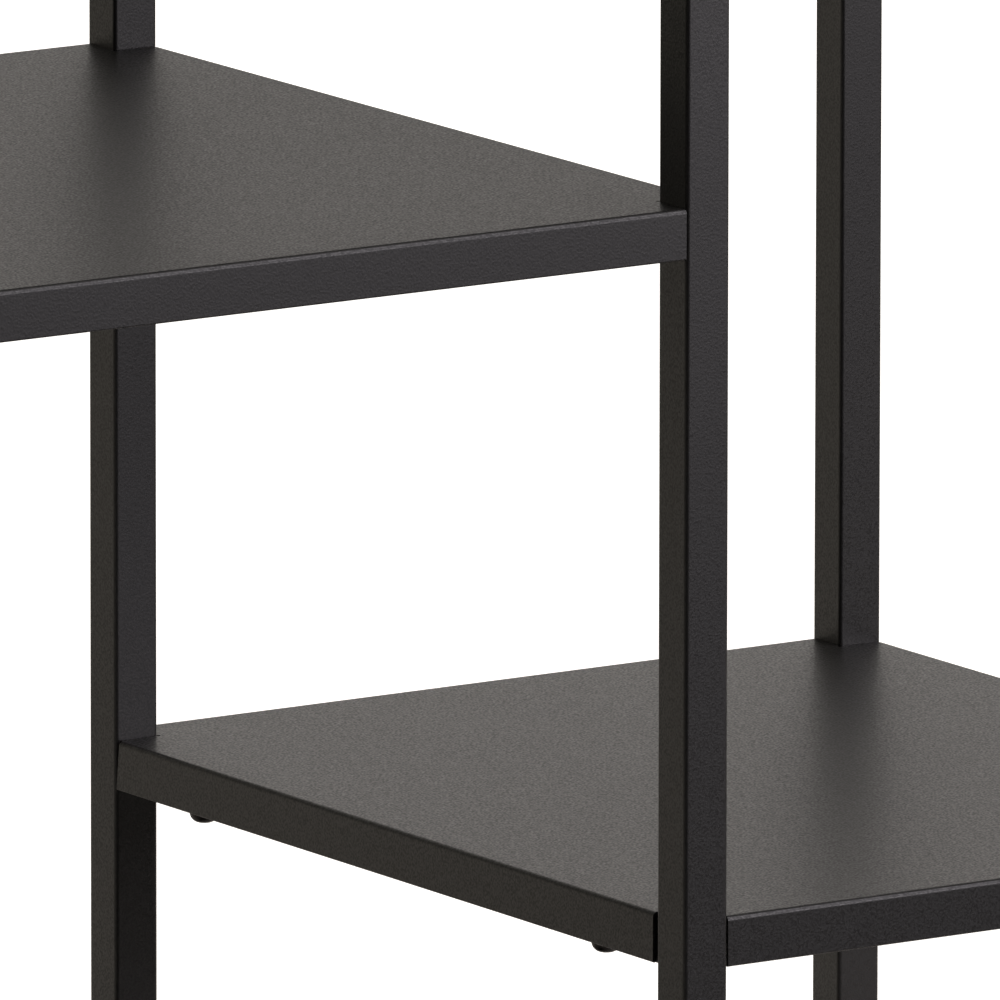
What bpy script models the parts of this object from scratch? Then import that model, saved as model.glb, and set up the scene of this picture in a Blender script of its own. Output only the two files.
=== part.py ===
"""Asymmetric bookcase of black powder-coated steel.

Three side frames of square tube stand side by side. Folded sheet-metal shelves hang between
them, by turns in the left and in the right column, and cover the frames front to back, so each
shelf is notched round its four posts. A shelf rests on a cross rail at each end, and four
pan-head screws hold it from below.

Axes: X to the right, Y to the back, Z up. The origin is on the floor, at the middle of the
footprint. All sizes are in metres.
"""

import math

import bmesh
import bpy
from mathutils import Matrix

# Size of the whole and places of the shelves
DEPTH = 0.344  # front to back, over the posts
COLUMN_PITCH = 0.279  # from the middle of one side frame to the middle of the next
FIRST_LEVEL = 0.106  # floor to the upper face of the lowest shelf
LEVEL_STEP = 0.224  # from one shelf to the next, which lies in the other column
TOP_RISE = 0.224  # from the highest shelf to the top of the side frames
SHELF_COUNT = 6

# Square tube of the posts and the top rails
TUBE = 0.016
TUBE_WALL = 0.0010
TUBE_CORNER = 0.0014
LEAST_CORNER = 0.0002  # of a tube's inside, where its wall is as thick as its corner is round

# Folded shelf
SHEET = 0.0012
APRON = 0.016  # height of the folded edge
BEND_RADIUS = 0.0016  # outside of the fold
NOTCH_GAP = 0.0003  # from a post to the notch in the flat part and to the front or back apron
APRON_GAP = 0.0018  # from a post to the end of a side apron, which the press needs free
RELIEF_RADIUS = 0.0008  # round relief in the notch's inner corner

# Rectangular tube of the cross rails, inside the aprons
RAIL_HEIGHT = 0.015
RAIL_WALL = 0.0010
RAIL_CORNER = 0.0010
RAIL_SIDE_GAP = 0.0003  # to the apron beside it

# Screws and the threaded sleeves that are welded under the shelves
THREAD = 0.005
HEAD_WIDTH = 0.0095
HEAD_HEIGHT = 0.0035
HEAD_FULLNESS = 2.2  # power of the head's curve: 2 is an ellipse, more is squarer
HEAD_FLAT = 0.002  # flat middle of the head
SCREW_INSET = 0.040  # from the near face of a post to the screw's axis
THREAD_GAP = 0.0003
SLEEVE_WALL = 0.0012
SLEEVE_LENGTH = 0.008
SLEEVE_GAP = 0.0004  # to the hole in the rail's upper wall
SHANK_GAP = 0.0005  # to the hole in the rail's lower wall
TIP_SPACE = 0.0016  # from the screw's tip to the shelf's underside
TIP_CHAMFER = 0.0008

# Plastic feet in the lower ends of the posts
FOOT_BASE = 0.005
FOOT_CHAMFER = 0.0012
FOOT_FIT = 0.0003  # from the stem to the tube's inside
FOOT_STEM = 0.022
FOOT_WALL = 0.0018
FOOT_CORNER = 0.0006

# Clearances between pieces that are welded or rest on each other
WELD_GAP = 0.0003
SEAT_GAP = 0.0003

# How finely the round parts are divided
CORNER_STEPS = 3
BEND_STEPS = 4
RELIEF_STEPS = 6
SCREW_SIDES = 12
SLEEVE_SIDES = 12
HEAD_STEPS = 4
SHARP_ANGLE = math.radians(35)

# Finishes: linear colour, roughness and metallic value
POWDER_COAT = ((0.0047, 0.0045, 0.0043), 0.42, 0.0)
BLACK_ZINC = ((0.022, 0.021, 0.021), 0.38, 0.6)
BLACK_PLASTIC = ((0.010, 0.010, 0.010), 0.58, 0.0)

# Measures that follow from the sizes above
HEIGHT = FIRST_LEVEL + (SHELF_COUNT - 1) * LEVEL_STEP + TOP_RISE
SHELF_WIDTH = COLUMN_PITCH + TUBE
POST_Y = (DEPTH - TUBE) / 2
RAIL_WIDTH = TUBE - 2 * (SHEET + RAIL_SIDE_GAP)
RAIL_TOP = -(SHEET + SEAT_GAP)  # below a shelf's upper face
SCREW_SEAT = RAIL_TOP - RAIL_HEIGHT - SEAT_GAP
SCREW_LENGTH = RAIL_HEIGHT + 2 * SEAT_GAP - TIP_SPACE
SCREW_Y = DEPTH / 2 - TUBE - SCREW_INSET
SLEEVE_BORE = THREAD + 2 * THREAD_GAP
SLEEVE_WIDTH = SLEEVE_BORE + 2 * SLEEVE_WALL
MITRE_BACK = WELD_GAP / math.sqrt(2)  # each half of a mitred joint stays back this far

FRAMES = ("left", "middle", "right")
FRAME_X = (-COLUMN_PITCH, 0.0, COLUMN_PITCH)
ENDS = {"front": -1, "back": 1}


def clear_scene():
    for thing in list(bpy.data.objects):
        bpy.data.objects.remove(thing, do_unlink=True)


def make_material(name, colour, roughness, metallic):
    material = bpy.data.materials.new(name)
    material.use_nodes = True
    shader = material.node_tree.nodes["Principled BSDF"]
    shader.inputs["Base Color"].default_value = (*colour, 1.0)
    shader.inputs["Roughness"].default_value = roughness
    shader.inputs["Metallic"].default_value = metallic
    return material


def rounded_rectangle(width, depth, corner, steps=CORNER_STEPS):
    """Points of a rectangle with round corners about the middle, counter-clockwise."""
    points = []
    for quarter, (side_x, side_y) in enumerate(((1, 1), (-1, 1), (-1, -1), (1, -1))):
        for step in range(steps + 1):
            angle = math.pi / 2 * (quarter + step / steps)
            x = side_x * (width / 2 - corner) + corner * math.cos(angle)
            y = side_y * (depth / 2 - corner) + corner * math.sin(angle)
            points.append((x, y))
    return points


def circle(width, sides):
    turn = 2 * math.pi / sides
    return [(width / 2 * math.cos(turn * i), width / 2 * math.sin(turn * i)) for i in range(sides)]


def ring_of(mesh, outline, height):
    """Vertices of an outline in a bmesh. The height is a number, or a function of x and y."""
    level = height if callable(height) else (lambda x, y: height)
    return [mesh.verts.new((x, y, level(x, y))) for x, y in outline]


def bridge(mesh, first, second):
    """Faces between two rings with as many points."""
    count = len(first)
    for i in range(count):
        j = (i + 1) % count
        mesh.faces.new((first[i], first[j], second[j], second[i]))


def mesh_from(build, name):
    """A bmesh made into a mesh, with its faces turned outwards and its round sides smooth."""
    bmesh.ops.recalc_face_normals(build, faces=build.faces)
    mesh = bpy.data.meshes.new(name)
    build.to_mesh(mesh)
    build.free()
    mesh.shade_smooth()
    mesh.set_sharp_from_angle(angle=SHARP_ANGLE)
    return mesh


def stacked_solid(name, layers):
    """A closed solid through outlines with as many points each: a list of (outline, height)."""
    build = bmesh.new()
    rings = [ring_of(build, outline, height) for outline, height in layers]
    for lower, upper in zip(rings, rings[1:]):
        bridge(build, lower, upper)
    build.faces.new(rings[0])
    build.faces.new(rings[-1])
    return mesh_from(build, name)


def hollow_bar(name, size, wall, corner, low, high):
    """A tube along Z, open at both ends. Low and high are heights, or functions of x and y."""
    width, depth = size
    inner_corner = max(corner - wall, LEAST_CORNER)
    outside = rounded_rectangle(width, depth, corner)
    inside = rounded_rectangle(width - 2 * wall, depth - 2 * wall, inner_corner)
    build = bmesh.new()
    rings = [
        ring_of(build, outside, low),
        ring_of(build, outside, high),
        ring_of(build, inside, high),
        ring_of(build, inside, low),
    ]
    for i in range(4):
        bridge(build, rings[i], rings[(i + 1) % 4])
    return mesh_from(build, name)


def after_booleans(name, mesh, boolean_steps):
    """The mesh after Boolean steps with other meshes: a list of (operation, mesh)."""
    subject = bpy.data.objects.new(name, mesh)
    bpy.context.scene.collection.objects.link(subject)
    helpers = []
    for operation, other in boolean_steps:
        helper = bpy.data.objects.new(name + "_helper", other)
        helper.hide_render = True
        helper.display_type = "WIRE"
        bpy.context.scene.collection.objects.link(helper)
        helpers.append(helper)
        modifier = subject.modifiers.new(operation.lower(), "BOOLEAN")
        modifier.operation = operation
        modifier.solver = "EXACT"
        modifier.object = helper
    graph = bpy.context.evaluated_depsgraph_get()
    result = bpy.data.meshes.new_from_object(subject.evaluated_get(graph))
    result.name = name
    result.shade_smooth()
    result.set_sharp_from_angle(angle=SHARP_ANGLE)
    for thing in [subject, *helpers]:
        bpy.data.objects.remove(thing, do_unlink=True)
    return result


def post_mesh():
    """A front post about its own axis, mitred at the top. Turned half round it is a back post."""
    floor_end = FOOT_BASE + SEAT_GAP
    return hollow_bar(
        "post",
        (TUBE, TUBE),
        TUBE_WALL,
        TUBE_CORNER,
        floor_end,
        lambda x, y: HEIGHT - (TUBE / 2 + y) - MITRE_BACK,
    )


def top_rail_mesh():
    """The top rail about its own axis, along Y, mitred at both ends."""

    def end(x, y):
        return DEPTH / 2 - (TUBE / 2 + y) - MITRE_BACK

    mesh = hollow_bar(
        "top_rail",
        (TUBE, TUBE),
        TUBE_WALL,
        TUBE_CORNER,
        lambda x, y: -end(x, y),
        end,
    )
    mesh.transform(Matrix.Rotation(-math.pi / 2, 4, "X"))
    return mesh


def cross_rail_mesh():
    """A cross rail along Y with its upper face at height 0, and two holes for each screw."""
    half = DEPTH / 2 - TUBE - WELD_GAP
    bar = hollow_bar("cross_rail", (RAIL_WIDTH, RAIL_HEIGHT), RAIL_WALL, RAIL_CORNER, -half, half)
    lay_down = Matrix.Rotation(-math.pi / 2, 4, "X")
    bar.transform(Matrix.Translation((0, 0, -RAIL_HEIGHT / 2)) @ lay_down)
    middle = -RAIL_HEIGHT / 2
    past = RAIL_WALL
    upper_hole = circle(SLEEVE_WIDTH + 2 * SLEEVE_GAP, SLEEVE_SIDES)
    lower_hole = circle(THREAD + 2 * SHANK_GAP, SLEEVE_SIDES)
    drills = bmesh.new()
    for side in ENDS.values():
        spans = ((upper_hole, middle, past), (lower_hole, -RAIL_HEIGHT - past, middle - past))
        for outline, low, high in spans:
            moved = [(x, y + side * SCREW_Y) for x, y in outline]
            rings = [ring_of(drills, moved, low), ring_of(drills, moved, high)]
            bridge(drills, *rings)
            drills.faces.new(rings[0])
            drills.faces.new(rings[1])
    cutter = mesh_from(drills, "rail_drills")
    return after_booleans("cross_rail", bar, [("DIFFERENCE", cutter)])


def shelf_outline():
    """The flat part of a shelf between its bend lines, notched round the posts."""
    flat_x = SHELF_WIDTH / 2 - BEND_RADIUS
    flat_y = DEPTH / 2 - BEND_RADIUS
    notch_x = SHELF_WIDTH / 2 - TUBE - NOTCH_GAP
    notch_y = DEPTH / 2 - TUBE - NOTCH_GAP
    points = []
    for side_x, side_y in ((1, 1), (-1, 1), (-1, -1), (1, -1)):
        corner = [(flat_x, DEPTH / 2 - TUBE - APRON_GAP), (flat_x, notch_y)]
        for step in range(RELIEF_STEPS + 1):
            angle = -1.5 * math.pi * step / RELIEF_STEPS
            x = notch_x + RELIEF_RADIUS * math.cos(angle)
            y = notch_y + RELIEF_RADIUS * math.sin(angle)
            corner.append((x, y))
        corner.append((notch_x, flat_y))
        corner = [(side_x * x, side_y * y) for x, y in corner]
        points += corner if side_x * side_y > 0 else corner[::-1]
    return points


def fold_down(build, edge, outward):
    """Extrudes one bend-line edge through the fold's arc and down to the apron's lower edge."""
    chord = 2 * BEND_RADIUS * math.sin(math.pi / 4 / BEND_STEPS)
    moves = []
    for step in range(BEND_STEPS):
        angle = math.pi / 2 * (step + 0.5) / BEND_STEPS
        moves.append((chord * math.cos(angle), -chord * math.sin(angle)))
    moves.append((0.0, BEND_RADIUS - APRON))
    for out, down in moves:
        extruded = bmesh.ops.extrude_edge_only(build, edges=[edge])["geom"]
        corners = [item for item in extruded if isinstance(item, bmesh.types.BMVert)]
        edge = next(item for item in extruded if isinstance(item, bmesh.types.BMEdge))
        offset = (outward[0] * out, outward[1] * out, down)
        bmesh.ops.translate(build, verts=corners, vec=offset)


def sleeves_mesh():
    """The four threaded sleeves of a shelf, their upper ends half sunk into the sheet."""
    build = bmesh.new()
    outside = circle(SLEEVE_WIDTH, SLEEVE_SIDES)
    inside = circle(SLEEVE_BORE, SLEEVE_SIDES)
    top = -SHEET / 2
    bottom = -SHEET - SLEEVE_LENGTH
    for side_x in (-1, 1):
        for side_y in ENDS.values():
            centre = (side_x * COLUMN_PITCH / 2, side_y * SCREW_Y)
            rings = []
            for outline, height in ((outside, bottom), (outside, top), (inside, top), (inside, bottom)):
                moved = [(x + centre[0], y + centre[1]) for x, y in outline]
                rings.append(ring_of(build, moved, height))
            for i in range(4):
                bridge(build, rings[i], rings[(i + 1) % 4])
    return mesh_from(build, "sleeves")


def shelf_mesh():
    """A folded shelf about the middle of its upper face."""
    build = bmesh.new()
    outline = shelf_outline()
    face = build.faces.new(ring_of(build, outline, 0.0))
    flat_x = SHELF_WIDTH / 2 - BEND_RADIUS
    flat_y = DEPTH / 2 - BEND_RADIUS
    for edge in list(face.edges):
        a, b = (vertex.co for vertex in edge.verts)
        for axis, limit in ((0, flat_x), (1, flat_y)):
            on_bend_line = all(abs(abs(end[axis]) - limit) < SHEET / 100 for end in (a, b))
            if on_bend_line and a[1 - axis] * b[1 - axis] < 0:
                outward = (math.copysign(1, a[0]), 0) if axis == 0 else (0, math.copysign(1, a[1]))
                fold_down(build, edge, outward)
    skin = mesh_from(build, "shelf_skin")
    plate = bpy.data.objects.new("shelf_plate", skin)
    bpy.context.scene.collection.objects.link(plate)
    thicken = plate.modifiers.new("thickness", "SOLIDIFY")
    thicken.thickness = SHEET
    thicken.offset = -1
    thicken.use_even_offset = True
    graph = bpy.context.evaluated_depsgraph_get()
    sheet = bpy.data.meshes.new_from_object(plate.evaluated_get(graph))
    bpy.data.objects.remove(plate, do_unlink=True)
    return after_booleans("shelf", sheet, [("UNION", sleeves_mesh())])


def screw_mesh():
    """A pan-head screw with its seat at height 0, its head below and its shank above."""
    layers = [(circle(HEAD_FLAT, SCREW_SIDES), -HEAD_HEIGHT)]
    for step in reversed(range(HEAD_STEPS)):
        angle = math.pi / 2 * step / HEAD_STEPS
        across = math.cos(angle) ** (2 / HEAD_FULLNESS)
        down = math.sin(angle) ** (2 / HEAD_FULLNESS)
        layers.append((circle(HEAD_WIDTH * across, SCREW_SIDES), -HEAD_HEIGHT * down))
    layers.append((circle(THREAD, SCREW_SIDES), 0.0))
    layers.append((circle(THREAD, SCREW_SIDES), SCREW_LENGTH - TIP_CHAMFER))
    layers.append((circle(THREAD - 2 * TIP_CHAMFER, SCREW_SIDES), SCREW_LENGTH))
    return stacked_solid("screw", layers)


def foot_mesh():
    """A plastic foot: a base under the tube's end and a hollow stem inside the tube."""
    stem = TUBE - 2 * TUBE_WALL - 2 * FOOT_FIT
    cavity = stem - 2 * FOOT_WALL
    base_line = rounded_rectangle(TUBE, TUBE, TUBE_CORNER)
    sole_width = TUBE - 2 * FOOT_CHAMFER
    sole_line = rounded_rectangle(sole_width, sole_width, FOOT_CORNER)
    stem_line = rounded_rectangle(stem, stem, FOOT_CORNER)
    cavity_line = rounded_rectangle(cavity, cavity, FOOT_CORNER)
    top = FOOT_BASE + FOOT_STEM
    return stacked_solid(
        "foot",
        [
            (sole_line, 0.0),
            (base_line, FOOT_CHAMFER),
            (base_line, FOOT_BASE),
            (stem_line, FOOT_BASE),
            (stem_line, top),
            (cavity_line, top),
            (cavity_line, FOOT_BASE),
        ],
    )


def add_empty(name, location):
    empty = bpy.data.objects.new(name, None)
    empty.location = location
    bpy.context.scene.collection.objects.link(empty)
    return empty


def add_piece(name, mesh, material, parent, location, turn=0.0):
    """A named object with its place given in its parent's frame."""
    piece = bpy.data.objects.new(name, mesh)
    piece.parent = parent
    piece.location = location
    piece.rotation_euler = (0.0, 0.0, turn)
    mesh.materials.clear()
    mesh.materials.append(material)
    bpy.context.scene.collection.objects.link(piece)
    return piece


def build_frames(steel, plastic):
    """The three side frames' posts, feet and top rails."""
    post = post_mesh()
    top_rail = top_rail_mesh()
    foot = foot_mesh()
    holders = []
    for frame, x in zip(FRAMES, FRAME_X):
        holder = add_empty("side_frame_" + frame, (x, 0, 0))
        for end, side in ENDS.items():
            turn = 0.0 if side < 0 else math.pi
            place = (0, side * POST_Y, 0)
            add_piece(f"post_{frame}_{end}", post, steel, holder, place, turn)
            add_piece(f"foot_{frame}_{end}", foot, plastic, holder, place)
        add_piece(f"top_rail_{frame}", top_rail, steel, holder, (0, 0, HEIGHT - TUBE / 2))
        holders.append(holder)
    return holders


def build_shelves(holders, steel, screw_steel):
    """The shelves by turns left and right, with the rails that carry them and their screws."""
    shelf = shelf_mesh()
    rail = cross_rail_mesh()
    screw = screw_mesh()
    for number in range(SHELF_COUNT):
        column = number % 2
        label = f"{number + 1}_{('left', 'right')[column]}"
        level = FIRST_LEVEL + number * LEVEL_STEP
        middle_x = (FRAME_X[column] + FRAME_X[column + 1]) / 2
        tray = add_piece(f"shelf_{label}", shelf, steel, None, (middle_x, 0, level))
        for frame in (column, column + 1):
            rail_name = f"cross_rail_{number + 1}_{FRAMES[frame]}"
            add_piece(rail_name, rail, steel, holders[frame], (0, 0, level + RAIL_TOP))
            for end, side in ENDS.items():
                name = f"screw_{number + 1}_{FRAMES[frame]}_{end}"
                place = (FRAME_X[frame] - middle_x, side * SCREW_Y, SCREW_SEAT)
                add_piece(name, screw, screw_steel, tray, place)


def main():
    clear_scene()
    powder_coat = make_material("black_powder_coated_steel", *POWDER_COAT)
    black_zinc = make_material("black_zinc_plated_steel", *BLACK_ZINC)
    black_plastic = make_material("black_polyethylene", *BLACK_PLASTIC)
    holders = build_frames(powder_coat, black_plastic)
    build_shelves(holders, powder_coat, black_zinc)


main()
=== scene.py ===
# %% [markdown]
# # A bookcase of black powder-coated steel
#
# The real object is a rack of thin square tube with trays of folded sheet steel between the
# tubes. It is all black, so the eye has little to go by except edges: the soft line of light on a
# fold, the dark line down the corner of a tube, and the shadow in the gap where a tray is notched
# round a post. This lesson models those edges with care and leaves the flat faces flat.
#
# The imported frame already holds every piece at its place, as plain solids. It is loaded first,
# and each piece that is modelled here stands for one of its nodes.

# %% Load the fixed frame
import math

import bmesh
import bpy
from mathutils import Matrix, Vector


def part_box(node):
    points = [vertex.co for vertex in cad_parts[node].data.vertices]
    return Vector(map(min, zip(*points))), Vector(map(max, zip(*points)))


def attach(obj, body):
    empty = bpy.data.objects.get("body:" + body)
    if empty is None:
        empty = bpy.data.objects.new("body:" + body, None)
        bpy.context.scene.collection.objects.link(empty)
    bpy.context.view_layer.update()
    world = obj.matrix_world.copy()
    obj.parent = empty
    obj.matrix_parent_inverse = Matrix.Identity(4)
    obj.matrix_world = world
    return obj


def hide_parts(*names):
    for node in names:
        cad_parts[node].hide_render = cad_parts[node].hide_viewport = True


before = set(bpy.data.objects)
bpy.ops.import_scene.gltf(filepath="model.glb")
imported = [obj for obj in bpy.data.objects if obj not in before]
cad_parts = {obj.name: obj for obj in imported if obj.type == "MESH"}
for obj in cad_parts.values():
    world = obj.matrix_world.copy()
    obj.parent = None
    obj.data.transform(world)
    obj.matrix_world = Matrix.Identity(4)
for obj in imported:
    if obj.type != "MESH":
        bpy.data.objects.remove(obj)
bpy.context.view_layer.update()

print("nodes in the frame:", len(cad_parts))

# %% [markdown]
# ## Sizes
#
# Places and outer sizes are read from the frame, so they can't drift away from it. The small
# sizes that a box doesn't tell, such as the wall of a tube or the radius of a fold, are stock
# sizes of steel furniture in millimetres.

# %% Sizes read from the frame
MM = 0.001


def span(node, axis):
    """How far a node of the frame reaches along one axis."""
    low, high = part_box(node)
    return high[axis] - low[axis]


post_low, post_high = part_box("post_middle_front")
TUBE = post_high.x - post_low.x
DEPTH = span("shelf_1_left", 1)
SHELF_WIDTH = span("shelf_1_left", 0)
APRON = span("shelf_1_left", 2)
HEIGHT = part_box("top_rail_middle")[1].z
POST_FOOT_END = post_low.z
POST_Y = DEPTH / 2 - TUBE / 2
RAIL_WIDTH = span("cross_rail_1_left", 0)
RAIL_HEIGHT = span("cross_rail_1_left", 2)
SCREW_HEAD_WIDTH = span("screw_1_left_front", 0)
FOOT_HEIGHT = span("foot_left_front", 2)
print(f"tube {TUBE / MM:.1f} mm, height {HEIGHT / MM:.0f} mm")
print(f"shelf {SHELF_WIDTH / MM:.0f} x {DEPTH / MM:.0f} mm")

# %% Small stock sizes
TUBE_WALL = 1.0 * MM
TUBE_CORNER = 1.4 * MM
RAIL_CORNER = 1.2 * MM
SHEET = 1.2 * MM
BEND_RADIUS = 1.6 * MM  # on the outside of a fold
NOTCH_GAP = 0.05 * MM  # from a post to the notch, and to the end of a front or back apron
APRON_GAP = 1.9 * MM  # from a post to the end of a side apron
SLANT = 1.6 * MM  # how far the back end of a side apron leans towards its post
RELIEF_RADIUS = 0.8 * MM
PAINTED_EDGE = 0.12 * MM  # paint rounds a cut edge by about its own thickness
ROUND_RIM = 0.5 * MM  # the lower rim of a folded edge is ground round before it is painted
SCREW_HEAD_HEIGHT = 3.5 * MM
THREAD = 5.0 * MM
SLEEVE_WIDTH = 8.0 * MM
SLEEVE_BORE = 5.6 * MM
SLEEVE_LENGTH = 8.0 * MM
FOOT_BASE = 5.0 * MM
FOOT_CHAMFER = 1.2 * MM
TINY = 0.01 * MM  # two places closer than this are the same place

# %% [markdown]
# ## Working as by hand
#
# Blender's operators act on whatever is selected, and loading the frame leaves its nodes
# selected. So every model starts from nothing selected, and in edit mode the next faces or edges
# are picked in code by where they are or which way they face. Three small helpers are enough for
# that.

# %% Helpers for modelling
def start_primitive(add, name, **settings):
    """Deselects everything, adds one primitive at its size and place, and gives it its name."""
    bpy.ops.object.select_all(action="DESELECT")
    add(**settings)
    piece = bpy.context.object
    piece.name = name
    bpy.ops.object.transform_apply(location=True, rotation=True, scale=True)
    return piece


def pick(kind, test):
    """In edit mode, selects only the vertices, edges or faces that pass the test."""
    bpy.ops.mesh.select_mode(type=kind)
    bpy.ops.mesh.select_all(action="DESELECT")
    mesh = bmesh.from_edit_mesh(bpy.context.object.data)
    items = {"VERT": mesh.verts, "EDGE": mesh.edges, "FACE": mesh.faces}[kind]
    found = [item for item in items if test(item)]
    for item in found:
        item.select_set(True)
    mesh.select_flush_mode()
    bmesh.update_edit_mesh(bpy.context.object.data)
    return len(found)


def edge_middle(edge):
    return (edge.verts[0].co + edge.verts[1].co) / 2


def runs_along(edge, axis):
    """True if an edge lies along one axis."""
    way = edge.verts[1].co - edge.verts[0].co
    return abs(way[axis]) > 0.99 * way.length


def apply_modifier(piece, kind, **settings):
    """Adds a modifier, gives it its settings and applies it at once."""
    modifier = piece.modifiers.new(kind.lower(), kind)
    for key, value in settings.items():
        setattr(modifier, key, value)
    bpy.ops.object.select_all(action="DESELECT")
    bpy.context.view_layer.objects.active = piece
    piece.select_set(True)
    bpy.ops.object.modifier_apply(modifier=modifier.name)


def smooth(piece, degrees=30):
    """Rounds shade smoothly, cut edges stay sharp, and big flat faces keep their own normal."""
    bpy.ops.object.select_all(action="DESELECT")
    bpy.context.view_layer.objects.active = piece
    piece.select_set(True)
    bpy.ops.object.shade_smooth_by_angle(angle=math.radians(degrees))
    apply_modifier(piece, "WEIGHTED_NORMAL", keep_sharp=True)


# %% [markdown]
# ## Finishes
#
# Three finishes cover the whole bookcase. All three are black, and what tells them apart is how
# they scatter light: the powder coat is satin with a fine grain, the zinc-plated screws are
# darker and sharper, and the plastic feet are dull. The colours are written as sRGB hex values
# and turned to linear light by one function.

# %% Colour and node helpers
def linear(hex_colour):
    """A colour written like #2b2a29 as the linear values that a shader wants."""
    channels = [int(hex_colour[i : i + 2], 16) / 255 for i in (1, 3, 5)]
    return (*[c / 12.92 if c <= 0.04045 else ((c + 0.055) / 1.055) ** 2.4 for c in channels], 1.0)


def add_node(tree, kind, inputs=None, **settings):
    """Adds a node. An input is a plain value, or another node's output to link it to."""
    node = tree.nodes.new(kind)
    for key, value in settings.items():
        setattr(node, key, value)
    for key, value in (inputs or {}).items():
        if isinstance(value, bpy.types.NodeSocket):
            tree.links.new(value, node.inputs[key])
        else:
            node.inputs[key].default_value = value
    return node


def new_finish(name):
    """An empty material with its shader and the object's own coordinates."""
    material = bpy.data.materials.new(name)
    material.use_nodes = True
    tree = material.node_tree
    shader = tree.nodes["Principled BSDF"]
    place = add_node(tree, "ShaderNodeTexCoord").outputs["Object"]
    return material, tree, shader, place


# %% [markdown]
# ### Powder coat
#
# Polyester powder is sprayed on dry and melts into a film about 80 micrometres thick. The fine
# texture of this one is a carpet of tiny humps on top of a longer, very shallow waviness. Under
# studio light the humps read as a fine grey speckle. A noise texture could drive the bump alone,
# but then the grain fades where the light is even, so it also moves the tint and the gloss a
# little. Noise looks different along the planes of its own lattice. All of this object's faces
# lie along the axes, so a Mapping node turns the pattern askew to them. The pigment itself is
# nearly black. What makes the shelves look dark grey is the satin surface, which reflects more
# the flatter it is seen.

# %% Powder coat
PAINT_DARK = "#060605"
PAINT_LIGHT = "#1d1c1b"
PAINT_ROUGHNESS = 0.42
GLOSS_SPREAD = 0.10  # a hump's top is smoother than the hollows round it
GRAIN = 0.74 * MM  # coarser than the real humps, which would blur away in the render
HUMP_HEIGHT = 0.036 * MM
WAVE = 5.0 * MM  # length of the film's shallow waves
WAVE_HEIGHT = 0.012 * MM
NOISE_RANGE = (0.3, 0.7)  # nearly all values of a noise texture lie between these
PATTERN_TURN = (0.65, 0.40, 0.90)  # radians about X, Y and Z


def powder_coat(name):
    material, tree, shader, place = new_finish(name)
    turned = add_node(tree, "ShaderNodeMapping", {"Vector": place, "Rotation": PATTERN_TURN})
    askew = turned.outputs["Vector"]
    humps = add_node(
        tree, "ShaderNodeTexNoise", {"Vector": askew, "Scale": 1 / GRAIN, "Detail": 0.0}
    )
    speckle = add_node(
        tree,
        "ShaderNodeMapRange",
        {
            "Value": humps.outputs["Fac"],
            "From Min": NOISE_RANGE[0],
            "From Max": NOISE_RANGE[1],
        },
    )
    waves = add_node(
        tree,
        "ShaderNodeTexNoise",
        {"Vector": place, "Scale": 1 / WAVE, "Detail": 2.0, "Roughness": 0.5},
    )
    tint = add_node(
        tree,
        "ShaderNodeMix",
        {
            "Factor": speckle.outputs["Result"],
            "A": linear(PAINT_DARK),
            "B": linear(PAINT_LIGHT),
        },
        data_type="RGBA",
    )
    gloss = add_node(
        tree,
        "ShaderNodeMapRange",
        {
            "Value": speckle.outputs["Result"],
            "To Min": PAINT_ROUGHNESS + GLOSS_SPREAD,
            "To Max": PAINT_ROUGHNESS - GLOSS_SPREAD,
        },
    )
    wavy = add_node(
        tree,
        "ShaderNodeBump",
        {"Height": waves.outputs["Fac"], "Strength": 1.0, "Distance": WAVE_HEIGHT},
    )
    grainy = add_node(
        tree,
        "ShaderNodeBump",
        {
            "Height": humps.outputs["Fac"],
            "Normal": wavy.outputs["Normal"],
            "Strength": 1.0,
            "Distance": HUMP_HEIGHT,
        },
    )
    tree.links.new(tint.outputs["Result"], shader.inputs["Base Color"])
    tree.links.new(gloss.outputs["Result"], shader.inputs["Roughness"])
    tree.links.new(grainy.outputs["Normal"], shader.inputs["Normal"])
    shader.inputs["IOR"].default_value = 1.5
    return material


frame_paint = powder_coat("fine_texture_black_powder_coat_on_tube")
shelf_paint = powder_coat("fine_texture_black_powder_coat_on_sheet")
print("paints:", frame_paint.name, shelf_paint.name)

# %% [markdown]
# ### Screws and feet
#
# The screws are zinc plated and then passivated black, in a tumbling drum, which leaves a dark
# metal with faint cloudy patches. The feet are moulded polyethylene: the spark-eroded mould
# prints a fine matt grain on them.

# %% Black zinc and black plastic
TUMBLE_MARK = 1.2 * MM
TUMBLE_DENT = 0.01 * MM
ZINC_ROUGHNESS = (0.30, 0.46)  # in the smooth and in the cloudy patches
MOULD_GRAIN = 0.4 * MM
MOULD_DEPTH = 0.02 * MM
PLASTIC_ROUGHNESS = 0.58


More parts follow.
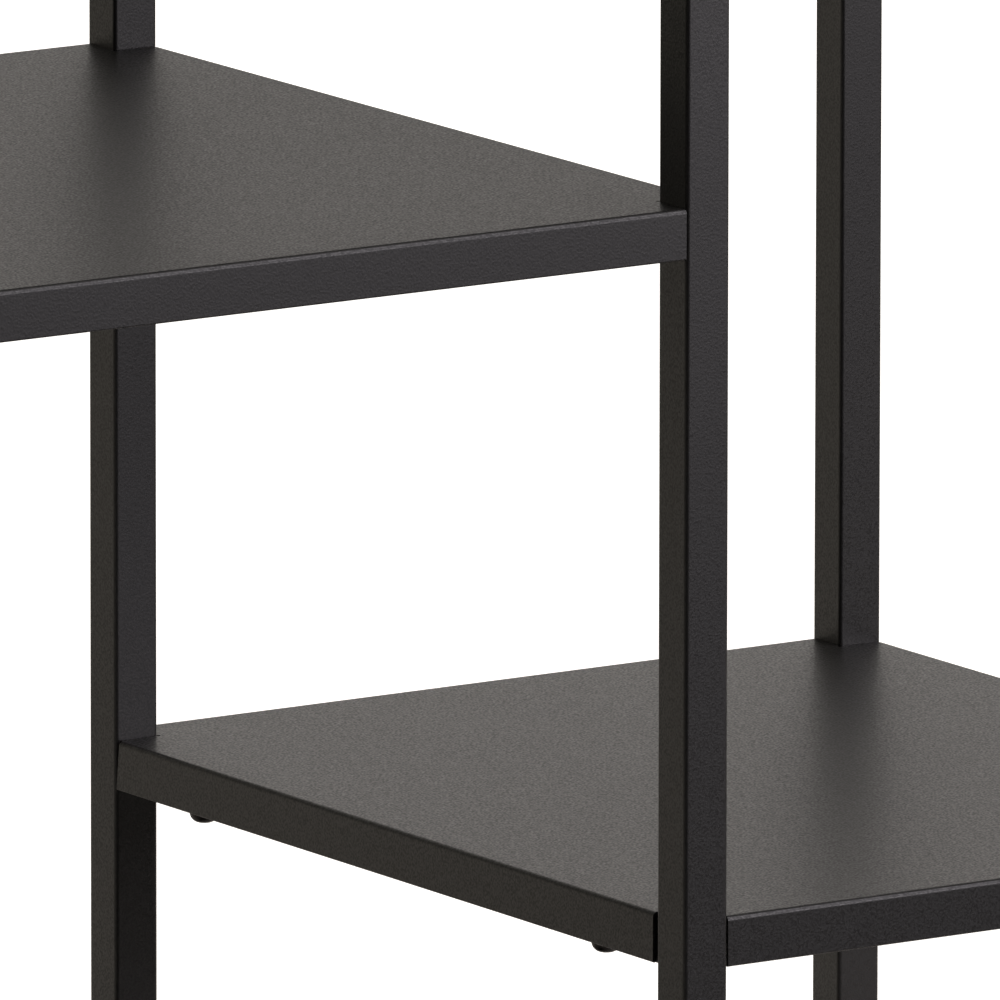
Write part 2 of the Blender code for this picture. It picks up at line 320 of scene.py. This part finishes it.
def black_zinc():
    material, tree, shader, place = new_finish("tumbled_black_passivated_zinc")
    clouds = add_node(
        tree, "ShaderNodeTexNoise", {"Vector": place, "Scale": 1 / TUMBLE_MARK, "Detail": 3.0}
    )
    tint = add_node(
        tree,
        "ShaderNodeMix",
        {"Factor": clouds.outputs["Fac"], "A": linear("#2a2929"), "B": linear("#434140")},
        data_type="RGBA",
    )
    gloss = add_node(
        tree,
        "ShaderNodeMapRange",
        {
            "Value": clouds.outputs["Fac"],
            "To Min": ZINC_ROUGHNESS[0],
            "To Max": ZINC_ROUGHNESS[1],
        },
    )
    dents = add_node(
        tree, "ShaderNodeBump", {"Height": clouds.outputs["Fac"], "Distance": TUMBLE_DENT}
    )
    tree.links.new(tint.outputs["Result"], shader.inputs["Base Color"])
    tree.links.new(gloss.outputs["Result"], shader.inputs["Roughness"])
    tree.links.new(dents.outputs["Normal"], shader.inputs["Normal"])
    shader.inputs["Metallic"].default_value = 1.0
    return material


def black_plastic():
    material, tree, shader, place = new_finish("moulded_black_polyethylene")
    grain = add_node(
        tree, "ShaderNodeTexNoise", {"Vector": place, "Scale": 1 / MOULD_GRAIN, "Detail": 2.0}
    )
    tint = add_node(
        tree,
        "ShaderNodeMix",
        {"Factor": grain.outputs["Fac"], "A": linear("#171717"), "B": linear("#1f1f1f")},
        data_type="RGBA",
    )
    dents = add_node(
        tree, "ShaderNodeBump", {"Height": grain.outputs["Fac"], "Distance": MOULD_DEPTH}
    )
    tree.links.new(tint.outputs["Result"], shader.inputs["Base Color"])
    tree.links.new(dents.outputs["Normal"], shader.inputs["Normal"])
    shader.inputs["Roughness"].default_value = PLASTIC_ROUGHNESS
    return material


screw_plating = black_zinc()
foot_plastic = black_plastic()
print("other finishes:", screw_plating.name, foot_plastic.name)

# %% [markdown]
# ## Placing copies
#
# Each kind of piece is modelled once, on the bench: about its own natural point at the origin.
# Then every node of that kind gets a copy with its own mesh, and the move goes into the mesh, so
# that the object itself stays at the origin. The paint's grain reads the object's coordinates, so
# no two copies show the same speckle.

# %% Helper for copies
placed = []


def place_copy(model, name, node, place, finish, half_turn=False):
    """One finished piece: a copy of the bench model that stands for a node of the frame."""
    piece = bpy.data.objects.new(name, model.data.copy())
    bpy.context.scene.collection.objects.link(piece)
    turn = Matrix.Rotation(math.pi, 4, "Z") if half_turn else Matrix.Identity(4)
    piece.data.transform(Matrix.Translation(place) @ turn)
    piece.data.materials.clear()
    piece.data.materials.append(finish)
    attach(piece, "root")
    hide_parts(node)
    placed.append(piece)


def put_away(model):
    """Removes a bench model once its copies are made."""
    bpy.data.objects.remove(model, do_unlink=True)


def node_middle(node):
    low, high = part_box(node)
    return (low + high) / 2


# %% [markdown]
# ## Square tubes
#
# A post is a welded square tube. Its long edges aren't sharp: a 16 mm tube is rolled with a
# corner of 1 to 1.5 mm, and that round corner is what draws the dark line down each post. A box
# without its ends is bevelled along its four long edges, and Solidify grows the wall inwards. The
# same function makes the posts, the top rails and the cross rails, along whichever axis they lie.

# %% Helper for tubes
CORNER_SEGMENTS = 8


def make_tube(name, size, middle, axis, corner, wall):
    """An open tube along one axis, with rounded long edges and a wall."""
    tube = start_primitive(
        bpy.ops.mesh.primitive_cube_add, name, size=1, location=middle, scale=size
    )
    bpy.ops.object.mode_set(mode="EDIT")
    pick("FACE", lambda face: abs(face.normal[axis]) > 0.9)
    bpy.ops.mesh.delete(type="FACE")
    pick("EDGE", lambda edge: runs_along(edge, axis))
    bpy.ops.mesh.bevel(offset=corner, segments=CORNER_SEGMENTS, affect="EDGES")
    bpy.ops.object.mode_set(mode="OBJECT")
    apply_modifier(tube, "SOLIDIFY", thickness=wall, offset=-1, use_even_offset=True)
    return tube


def soften_end(tube, axis, place):
    """Rounds the cut edges of the tube's end that lies at one place along its axis."""
    bpy.ops.object.mode_set(mode="EDIT")
    pick(
        "EDGE",
        lambda edge: all(abs(vert.co[axis] - place) < TINY for vert in edge.verts)
        and {round(abs(face.normal[axis])) for face in edge.link_faces} == {0, 1},
    )
    bpy.ops.mesh.bevel(offset=PAINTED_EDGE, segments=2, affect="EDGES")
    bpy.ops.object.mode_set(mode="OBJECT")


def cut_mitre(tube, point, away):
    """Cuts the end off along a sloping plane and closes the wall again with a rim."""
    bpy.ops.object.mode_set(mode="EDIT")
    bpy.ops.mesh.select_mode(type="EDGE")
    bpy.ops.mesh.select_all(action="SELECT")
    bpy.ops.mesh.bisect(plane_co=point, plane_no=away, clear_outer=True)
    count = pick("EDGE", lambda edge: edge.is_boundary)
    bpy.ops.mesh.bridge_edge_loops()
    bpy.ops.object.mode_set(mode="OBJECT")
    return count


# %% [markdown]
# ### Posts
#
# A post runs from its foot to the top, where it meets the top rail in a mitre. The weld there is
# ground flush and painted over, so the two tubes simply meet. The model is a front post about its
# own axis, and a back post is the same one turned half round.

# %% Posts
post_length = HEIGHT - POST_FOOT_END
post = make_tube(
    "post_model",
    (TUBE, TUBE, post_length),
    (0, 0, POST_FOOT_END + post_length / 2),
    2,
    TUBE_CORNER,
    TUBE_WALL,
)
soften_end(post, 2, POST_FOOT_END)
print("mitre edges:", cut_mitre(post, (0, 0, HEIGHT - TUBE / 2), (0, 1, 1)))
smooth(post)
FRAMES = {name: node_middle(f"top_rail_{name}").x for name in ("left", "middle", "right")}
ENDS = {"front": -1, "back": 1}
for frame_name, x in FRAMES.items():
    for end_name, side in ENDS.items():
        label = f"{frame_name}_{end_name}"
        place_copy(
            post,
            f"mitred_post_{label}",
            f"post_{label}",
            (x, side * POST_Y, 0),
            frame_paint,
            half_turn=side > 0,
        )
put_away(post)
print("posts:", len(placed))

# %% [markdown]
# ### Top rails
#
# The top rail closes each side frame. It is the same tube, cut at both ends at the other half of
# the mitre.

# %% Top rails
top_rail = make_tube(
    "top_rail_model", (TUBE, DEPTH, TUBE), (0, 0, HEIGHT - TUBE / 2), 1, TUBE_CORNER, TUBE_WALL
)
cut_mitre(top_rail, (0, -POST_Y, HEIGHT - TUBE / 2), (0, -1, -1))
cut_mitre(top_rail, (0, POST_Y, HEIGHT - TUBE / 2), (0, 1, -1))
smooth(top_rail)
for frame_name, x in FRAMES.items():
    place_copy(
        top_rail,
        f"mitred_top_rail_{frame_name}",
        f"top_rail_{frame_name}",
        (x, 0, 0),
        frame_paint,
    )
put_away(top_rail)
print("top rails:", len(FRAMES))

# %% [markdown]
# ### Cross rails
#
# Under each end of a shelf a small rectangular tube is welded between the front and the back
# post. The shelf's folded edge hides it from outside, and it shows only from below. It has two
# drilled holes for each screw: a wide one above, for the sleeve under the shelf, and a narrow one
# below.

# %% Cross rails
SHELVES = [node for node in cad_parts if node.startswith("shelf_")]
SHELVES.sort(key=lambda node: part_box(node)[1].z)
first_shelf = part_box(SHELVES[0])[1].z
RAIL_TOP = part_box("cross_rail_1_left")[1].z - first_shelf
RAIL_LENGTH = span("cross_rail_1_left", 1)
SCREW_Y = node_middle("screw_1_left_back").y
SLEEVE_HOLE = SLEEVE_WIDTH + 0.8 * MM  # with room for the rows of holes to be a little off
SHANK_HOLE = THREAD + 1.0 * MM
DRILL_SIDES = 32


def drill(piece, width, centres, low, high):
    """Drills round holes along Z through a piece."""
    for x, y in centres:
        size = {"vertices": DRILL_SIDES, "radius": width / 2, "depth": high - low}
        cutter = start_primitive(
            bpy.ops.mesh.primitive_cylinder_add, "drill", location=(x, y, (low + high) / 2), **size
        )
        apply_modifier(piece, "BOOLEAN", operation="DIFFERENCE", solver="EXACT", object=cutter)
        bpy.data.objects.remove(cutter, do_unlink=True)


cross_rail = make_tube(
    "cross_rail_model",
    (RAIL_WIDTH, RAIL_LENGTH, RAIL_HEIGHT),
    (0, 0, RAIL_TOP - RAIL_HEIGHT / 2),
    1,
    RAIL_CORNER,
    TUBE_WALL,
)
screw_places = [(0, -SCREW_Y), (0, SCREW_Y)]
rail_middle = RAIL_TOP - RAIL_HEIGHT / 2
drill(cross_rail, SLEEVE_HOLE, screw_places, rail_middle, RAIL_TOP + TUBE_WALL)
drill(cross_rail, SHANK_HOLE, screw_places, RAIL_TOP - RAIL_HEIGHT - TUBE_WALL, rail_middle)
smooth(cross_rail)
rail_nodes = [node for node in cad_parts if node.startswith("cross_rail_")]
for node in sorted(rail_nodes):
    x = node_middle(node).x
    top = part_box(node)[1].z
    name = node.replace("cross_rail", "welded_cross_rail")
    place_copy(cross_rail, name, node, (x, 0, top - RAIL_TOP), frame_paint)
put_away(cross_rail)
print("cross rails:", len(rail_nodes))

# %% [markdown]
# ## Folded shelves
#
# A shelf starts as a flat sheet. Its corners are cut out to fit closely round the posts, with a
# small round hole at the inner corner of each notch, so that the sheet doesn't tear when it is
# folded. Then the four edges are folded down over a radius of about 1.5 mm. The side aprons end a
# little short of the posts, because the press needs room there, and their back ends are cut at a
# slant. The model follows the same order: a plane, cut along the notch lines, four folds made by
# Spin, the slant, and then the thickness. The relief holes are drilled last.

# %% Folded shelf
BEND_SEGMENTS = 10
flat_x = SHELF_WIDTH / 2 - BEND_RADIUS
flat_y = DEPTH / 2 - BEND_RADIUS
notch_x = SHELF_WIDTH / 2 - TUBE - NOTCH_GAP
notch_y = DEPTH / 2 - TUBE - NOTCH_GAP
side_end = DEPTH / 2 - TUBE - APRON_GAP

shelf = start_primitive(bpy.ops.mesh.primitive_plane_add, "shelf_model", size=2)
bpy.ops.object.mode_set(mode="EDIT")
bpy.ops.transform.resize(value=(flat_x, flat_y, 1))
CUTS = ((0, notch_x), (0, -notch_x), (1, notch_y), (1, -notch_y), (1, side_end), (1, -side_end))
for axis, place in CUTS:
    across = [0, 0, 0]
    across[axis] = 1
    bpy.ops.mesh.select_all(action="SELECT")
    bpy.ops.mesh.bisect(plane_co=[place * share for share in across], plane_no=across)


def in_notch(face):
    middle = face.calc_center_median()
    return abs(middle.x) > notch_x and abs(middle.y) > notch_y


print("notches cut:", pick("FACE", in_notch))
bpy.ops.mesh.delete(type="FACE")
FOLDS = (
    (0, 1, flat_x, side_end),
    (0, -1, flat_x, side_end),
    (1, 1, flat_y, notch_x),
    (1, -1, flat_y, notch_x),
)
for axis, side, reach, end in FOLDS:
    pick(
        "EDGE",
        lambda edge: abs(edge_middle(edge)[axis] - side * reach) < TINY
        and abs(edge_middle(edge)[1 - axis]) < end,
    )
    centre = [0, 0, -BEND_RADIUS]
    centre[axis] = side * reach
    turn_axis = (0, 1, 0) if axis == 0 else (-1, 0, 0)
    quarter = -side * math.pi / 2
    bpy.ops.mesh.spin(steps=BEND_SEGMENTS, angle=quarter, center=centre, axis=turn_axis)
    bpy.ops.mesh.extrude_edges_move(TRANSFORM_OT_translate={"value": (0, 0, BEND_RADIUS - APRON)})
pick(
    "VERT",
    lambda vert: vert.co.z < TINY - APRON
    and abs(vert.co.x) > SHELF_WIDTH / 2 - TINY
    and vert.co.y > 0,
)
bpy.ops.transform.translate(value=(0, SLANT, 0))
bpy.ops.mesh.select_all(action="SELECT")
bpy.ops.mesh.normals_make_consistent(inside=False)
bpy.ops.object.mode_set(mode="OBJECT")
bpy.context.view_layer.update()
print("folded sheet in mm:", [round(size / MM, 2) for size in shelf.dimensions])
apply_modifier(shelf, "SOLIDIFY", thickness=SHEET, offset=-1, use_even_offset=True)
notch_corners = [(x, y) for x in (-notch_x, notch_x) for y in (-notch_y, notch_y)]
drill(shelf, 2 * RELIEF_RADIUS, notch_corners, -3 * SHEET, 2 * SHEET)

# %% [markdown]
# The paint doesn't cover a cut edge sharply but rolls over it, which catches a hair of light. The
# lower rims of the folded edges are rounder than the other cuts, because hands reach them. So the
# rims are bevelled first, and then every other long edge that is sharper than 50 degrees.

# %% Painted edges
SHARP = math.radians(50)
bpy.ops.object.select_all(action="DESELECT")
bpy.context.view_layer.objects.active = shelf
shelf.select_set(True)
bpy.ops.object.mode_set(mode="EDIT")
rims = pick(
    "EDGE",
    lambda edge: max(vert.co.z for vert in edge.verts) < TINY - APRON
    and edge.calc_length() > 5 * SHEET,
)
bpy.ops.mesh.bevel(offset=ROUND_RIM, segments=5, affect="EDGES")
cuts = pick(
    "EDGE",
    lambda edge: edge.calc_face_angle(0) > SHARP and edge.calc_length() > SHEET / 2,
)
bpy.ops.mesh.bevel(offset=PAINTED_EDGE, segments=2, affect="EDGES")
bpy.ops.object.mode_set(mode="OBJECT")
print("rims:", rims, "other cut edges:", cuts)

# %% [markdown]
# Four threaded sleeves are welded on below, for the screws. Each starts inside the sheet, so that
# the Boolean union joins the two without faces that lie on one another.

# %% Sleeves
COLUMN_PITCH = FRAMES["middle"] - FRAMES["left"]
sleeve_top = -SHEET / 2
sleeve_depth = SLEEVE_LENGTH + SHEET / 2
sleeve_wall = (SLEEVE_WIDTH - SLEEVE_BORE) / 2
for x in (-COLUMN_PITCH / 2, COLUMN_PITCH / 2):
    for y in (-SCREW_Y, SCREW_Y):
        sleeve = start_primitive(
            bpy.ops.mesh.primitive_cylinder_add,
            "sleeve",
            vertices=DRILL_SIDES,
            radius=SLEEVE_WIDTH / 2,
            depth=sleeve_depth,
            location=(x, y, sleeve_top - sleeve_depth / 2),
        )
        bpy.ops.object.mode_set(mode="EDIT")
        pick("FACE", lambda face: abs(face.normal.z) > 0.9)
        bpy.ops.mesh.delete(type="FACE")
        bpy.ops.object.mode_set(mode="OBJECT")
        apply_modifier(
            sleeve, "SOLIDIFY", thickness=sleeve_wall, offset=-1, use_even_offset=True
        )
        apply_modifier(shelf, "BOOLEAN", operation="UNION", solver="EXACT", object=sleeve)
        bpy.data.objects.remove(sleeve, do_unlink=True)
smooth(shelf)
for node in SHELVES:
    middle = node_middle(node)
    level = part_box(node)[1].z
    name = node.replace("shelf", "folded_shelf")
    place_copy(shelf, name, node, (middle.x, middle.y, level), shelf_paint)
put_away(shelf)
print("shelves:", len(SHELVES))

# %% [markdown]
# ## Screws
#
# Twenty-four pan-head screws hold the shelves from below. Only their heads show, as small black
# bumps under the folded edge. The head starts as a cylinder whose lower rim is bevelled into a
# dome, and the shank is extruded from its top. The thread never shows, so it isn't cut. Two
# crossed wedges, cut out by Boolean, make the cross recess for the driver.

# %% Screw
SCREW_SIDES = 40
HEAD_ROUND = 3.4 * MM
HEAD_SEGMENTS = 10
WING_LENGTH = 4.6 * MM
WING_WIDTH = 1.1 * MM
WING_TAPER = 0.45  # the share of its size that a wing keeps at the bottom of the recess
RECESS_DEPTH = 2.0 * MM
screw_low, screw_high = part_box("screw_1_left_front")
SCREW_SEAT = screw_low.z + SCREW_HEAD_HEIGHT - first_shelf
SCREW_TIP = screw_high.z - first_shelf

screw = start_primitive(
    bpy.ops.mesh.primitive_cylinder_add,
    "screw_model",
    vertices=SCREW_SIDES,
    radius=SCREW_HEAD_WIDTH / 2,
    depth=SCREW_HEAD_HEIGHT,
    location=(0, 0, SCREW_SEAT - SCREW_HEAD_HEIGHT / 2),
)
bpy.ops.object.mode_set(mode="EDIT")
head_bottom = SCREW_SEAT - SCREW_HEAD_HEIGHT
pick("EDGE", lambda edge: max(vert.co.z for vert in edge.verts) < head_bottom + TINY)
bpy.ops.mesh.bevel(offset=HEAD_ROUND, segments=HEAD_SEGMENTS, profile=0.5, affect="EDGES")
pick("FACE", lambda face: face.normal.z > 0.9)
bpy.ops.mesh.inset(thickness=(SCREW_HEAD_WIDTH - THREAD) / 2)
shank_length = SCREW_TIP - SCREW_SEAT
bpy.ops.mesh.extrude_region_move(TRANSFORM_OT_translate={"value": (0, 0, shank_length)})
bpy.ops.object.mode_set(mode="OBJECT")
for turn in (0, math.pi / 2):
    wing = start_primitive(
        bpy.ops.mesh.primitive_cube_add,
        "recess_wing",
        size=1,
        scale=(WING_LENGTH, WING_WIDTH, 2 * RECESS_DEPTH),
        location=(0, 0, head_bottom),
        rotation=(0, 0, turn),
    )
    bpy.ops.object.mode_set(mode="EDIT")
    pick("FACE", lambda face: face.normal.z > 0.9)
    bpy.ops.transform.resize(value=(WING_TAPER, WING_TAPER, 1))
    bpy.ops.object.mode_set(mode="OBJECT")
    apply_modifier(screw, "BOOLEAN", operation="DIFFERENCE", solver="EXACT", object=wing)
    bpy.data.objects.remove(wing, do_unlink=True)
smooth(screw)
screw_nodes = [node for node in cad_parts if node.startswith("screw_")]
for node in sorted(screw_nodes):
    low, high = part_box(node)
    place = ((low.x + high.x) / 2, (low.y + high.y) / 2, high.z - SCREW_TIP)
    name = node.replace("screw", "pan_head_screw")
    place_copy(screw, name, node, place, screw_plating)
put_away(screw)
print("screws:", len(screw_nodes))

# %% [markdown]
# ## Feet
#
# Each post ends in a plastic glide: a base as wide as the tube, with a chamfered sole, and a
# hollow stem pressed into the tube. A shallow recess in the sole lets it sit flat on an uneven
# floor.
#
# An inset deeper than a round corner's radius folds the corner over itself. The steps in the foot
# are deeper than that, so each one copies the face in place and scales the copy down, which keeps
# its form.

# %% Feet
STEM_PLAY = 0.3 * MM  # between the stem and the tube's inside
STEM = TUBE - 2 * TUBE_WALL - 2 * STEM_PLAY
STEM_WALL = 1.8 * MM
SOLE = TUBE - 2 * FOOT_CHAMFER
SOLE_RIM = 2.0 * MM
SOLE_RECESS = 0.5 * MM
SOLE_SLOPE = 0.3 * MM
stem_length = FOOT_HEIGHT - FOOT_BASE


def step_in(width, margin):
    """Copies the picked faces in place and scales the copy down by a margin on each side."""
    bpy.ops.mesh.extrude_region_move()
    scale = (width - 2 * margin) / width
    bpy.ops.transform.resize(value=(scale, scale, 1))


foot = start_primitive(
    bpy.ops.mesh.primitive_cube_add,
    "foot_model",
    size=1,
    scale=(TUBE, TUBE, FOOT_BASE),
    location=(0, 0, FOOT_BASE / 2),
)
bpy.ops.object.mode_set(mode="EDIT")
pick("EDGE", lambda edge: runs_along(edge, 2))
bpy.ops.mesh.bevel(offset=TUBE_CORNER, segments=CORNER_SEGMENTS, affect="EDGES")
pick("EDGE", lambda edge: max(vert.co.z for vert in edge.verts) < TINY)
bpy.ops.mesh.bevel(offset=FOOT_CHAMFER, segments=3, affect="EDGES")
pick("FACE", lambda face: face.normal.z < -0.99)
step_in(SOLE, SOLE_RIM)
step_in(SOLE - 2 * SOLE_RIM, SOLE_SLOPE)
bpy.ops.transform.translate(value=(0, 0, SOLE_RECESS))
pick("FACE", lambda face: face.normal.z > 0.99 and face.calc_center_median().z > FOOT_BASE / 2)
step_in(TUBE, (TUBE - STEM) / 2)
bpy.ops.mesh.extrude_region_move(TRANSFORM_OT_translate={"value": (0, 0, stem_length)})
step_in(STEM, STEM_WALL)
bpy.ops.mesh.extrude_region_move(TRANSFORM_OT_translate={"value": (0, 0, -stem_length)})
bpy.ops.object.mode_set(mode="OBJECT")
smooth(foot)
foot_nodes = [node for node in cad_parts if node.startswith("foot_")]
for node in sorted(foot_nodes):
    low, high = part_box(node)
    place = ((low.x + high.x) / 2, (low.y + high.y) / 2, 0)
    place_copy(foot, node.replace("foot", "glide_foot"), node, place, foot_plastic)
put_away(foot)
print("feet:", len(foot_nodes))

# %% [markdown]
# ## Camera
#
# The photograph was taken from a long way off with a long lens, a little above the shelves and
# from the left, so that upright lines stay upright. The view is a close crop of the middle of the
# rack.

# %% Camera
CAMERA_AZIMUTH = math.radians(-33.264)
CAMERA_ELEVATION = math.radians(11.201)
CAMERA_ROLL = math.radians(0.078)
CAMERA_DISTANCE = 7.978  # metres
CAMERA_TARGET = Vector((0.0363, 0.0, 0.4296))
LENS = 913.2  # millimetres
SENSOR = 36  # millimetres wide

camera_data = bpy.data.cameras.new("long_lens")
camera_data.lens = LENS
camera_data.sensor_width = SENSOR
camera = bpy.data.objects.new("camera", camera_data)
bpy.context.scene.collection.objects.link(camera)
tilt = Matrix.Rotation(math.pi / 2 - CAMERA_ELEVATION, 4, "X")
camera.matrix_world = (
    Matrix.Translation(CAMERA_TARGET)
    @ Matrix.Rotation(CAMERA_AZIMUTH, 4, "Z")
    @ tilt
    @ Matrix.Rotation(CAMERA_ROLL, 4, "Z")
    @ Matrix.Translation((0, 0, CAMERA_DISTANCE))
)
bpy.context.scene.camera = camera
print("camera at", [round(value, 3) for value in camera.matrix_world.translation])

# %% [markdown]
# ## Studio
#
# Black paint shows what surrounds it more than it shows its own colour. The rack stands near the
# front end of a long roll of pale paper. The tops are seen almost edge on, so they mirror the
# tall soft boxes behind the rack, and the left faces mirror the paper beside it. The front faces
# see two low soft boxes to the right, and the folds between them and the tops catch a higher one.
# In front of the paper the studio is dark, and that is what draws the dark line down every
# corner.
#
# The paper and the background are white to the camera. They get that from their own colour and
# not from stronger lamps, and near the rack the paper still takes its shadow.

# %% Floor
PAPER_SIZE = 60.0  # metres, so that it reaches the horizon behind the rack
PAPER_IN_FRONT = 0.5  # metres from the middle of the rack to the front end of the paper
PAPER_LEVEL = -0.2 * MM  # just below the feet
PAPER_COLOUR = "#e8e4dc"
NEAR_FLOOR = 1.5  # metres from the rack, up to which the paper is darker and keeps its shadow
FAR_FLOOR = 4.0  # metres from the rack, beyond which the camera sees plain white
NEAR_WHITE = 0.7
WHITE = (1, 1, 1, 1)
paper_middle = (0, PAPER_SIZE / 2 - PAPER_IN_FRONT, PAPER_LEVEL)
floor = start_primitive(
    bpy.ops.mesh.primitive_plane_add, "studio_floor", size=PAPER_SIZE, location=paper_middle
)
floor_finish = bpy.data.materials.new("pale_studio_floor")
floor_finish.use_nodes = True
floor_tree = floor_finish.node_tree
floor_tree.nodes.clear()
floor_out = add_node(floor_tree, "ShaderNodeOutputMaterial")
floor_paint = add_node(floor_tree, "ShaderNodeBsdfDiffuse", {"Color": linear(PAPER_COLOUR)})
to_camera = add_node(floor_tree, "ShaderNodeLightPath").outputs["Is Camera Ray"]
floor_place = add_node(floor_tree, "ShaderNodeTexCoord").outputs["Object"]
far_off = add_node(floor_tree, "ShaderNodeVectorMath", {0: floor_place}, operation="LENGTH")
white = add_node(
    floor_tree,
    "ShaderNodeMapRange",
    {
        "Value": far_off.outputs["Value"],
        "From Min": NEAR_FLOOR,
        "From Max": FAR_FLOOR,
        "To Min": NEAR_WHITE,
        "To Max": 1.0,
    },
)
shown = add_node(
    floor_tree, "ShaderNodeMath", {0: to_camera, 1: white.outputs["Result"]}, operation="MULTIPLY"
)
lift = add_node(
    floor_tree, "ShaderNodeEmission", {"Color": WHITE, "Strength": shown.outputs["Value"]}
)
lit = add_node(
    floor_tree, "ShaderNodeAddShader", {0: floor_paint.outputs["BSDF"], 1: lift.outputs["Emission"]}
)
floor_tree.links.new(lit.outputs["Shader"], floor_out.inputs["Surface"])
floor_finish.cycles.emission_sampling = "NONE"
floor.data.materials.append(floor_finish)
print("floor:", [round(size, 1) for size in floor.dimensions], "m")

# %% Background
DIM_AIR = 0.02  # what the rack gets from the dark studio round it
world = bpy.data.worlds.new("studio_world")
bpy.context.scene.world = world
world.use_nodes = True
world_tree = world.node_tree
world_tree.nodes.clear()
world_out = add_node(world_tree, "ShaderNodeOutputWorld")
sees = add_node(world_tree, "ShaderNodeLightPath").outputs["Is Camera Ray"]
dim_air = add_node(world_tree, "ShaderNodeBackground", {"Color": WHITE, "Strength": DIM_AIR})
white_air = add_node(world_tree, "ShaderNodeBackground", {"Color": WHITE, "Strength": 1.0})
air = add_node(
    world_tree,
    "ShaderNodeMixShader",
    {0: sees, 1: dim_air.outputs["Background"], 2: white_air.outputs["Background"]},
)
world_tree.links.new(air.outputs["Shader"], world_out.inputs["Surface"])

# %% [markdown]
# Each soft box is an area lamp that faces the rack from a direction and a distance. A bigger lamp
# with the same radiance looks just as bright in the paint's reflection and only covers more of
# it, so the lamps are given by their radiance, and the energy follows from their size.

# %% Soft boxes
RACK_MIDDLE = Vector((0, 0, 0.5))
WARM = "#fff9f3"
CREAM = "#fff6e4"
COOL = "#fff8fe"


def soft_box(name, azimuth, elevation, distance, size, radiance, colour):
    """Azimuth 0 is behind the rack, 90 to its right; angles in degrees, lengths in metres."""
    lamp_data = bpy.data.lights.new(name, "AREA")
    lamp_data.shape = "RECTANGLE"
    lamp_data.size, lamp_data.size_y = size
    lamp_data.energy = radiance * math.pi * size[0] * size[1]
    lamp_data.color = linear(colour)[:3]
    lamp = bpy.data.objects.new(name, lamp_data)
    bpy.context.scene.collection.objects.link(lamp)
    a, e = math.radians(azimuth), math.radians(elevation)
    way = Vector((math.sin(a) * math.cos(e), math.cos(a) * math.cos(e), math.sin(e)))
    lamp.location = RACK_MIDDLE + distance * way
    lamp.rotation_euler = way.to_track_quat("Z", "Y").to_euler()
    lamp.visible_camera = False


soft_box("wall_foot", 33, -1.7, 5.0, (8.0, 0.7), 4.4, WARM)
soft_box("wall_top", 33, 21.5, 5.0, (8.0, 1.9), 0.96, WARM)
soft_box("back_left", -45, 4, 5.0, (4.0, 2.0), 0.68, CREAM)
soft_box("back_top", -10, 30, 5.0, (3.6, 1.6), 0.32, CREAM)
soft_box("front_near", 150, 3, 1.5, (1.4, 0.45), 1.9, COOL)
soft_box("front_far", 147, 14, 3.0, (3.0, 0.9), 4.4, COOL)
soft_box("right_key", 134, 44, 3.0, (2.4, 0.9), 5.0, COOL)
soft_box("overhead", 0, 86, 3.0, (2.6, 2.6), 2.7, WARM)
print("lamps:", len(bpy.data.lights))

bpy.context.scene.view_settings.view_transform = "Standard"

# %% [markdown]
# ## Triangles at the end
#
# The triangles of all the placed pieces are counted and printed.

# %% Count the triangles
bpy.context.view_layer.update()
triangles = sum(len(face.vertices) - 2 for piece in placed for face in piece.data.polygons)
print("pieces:", len(placed), "triangles:", triangles)
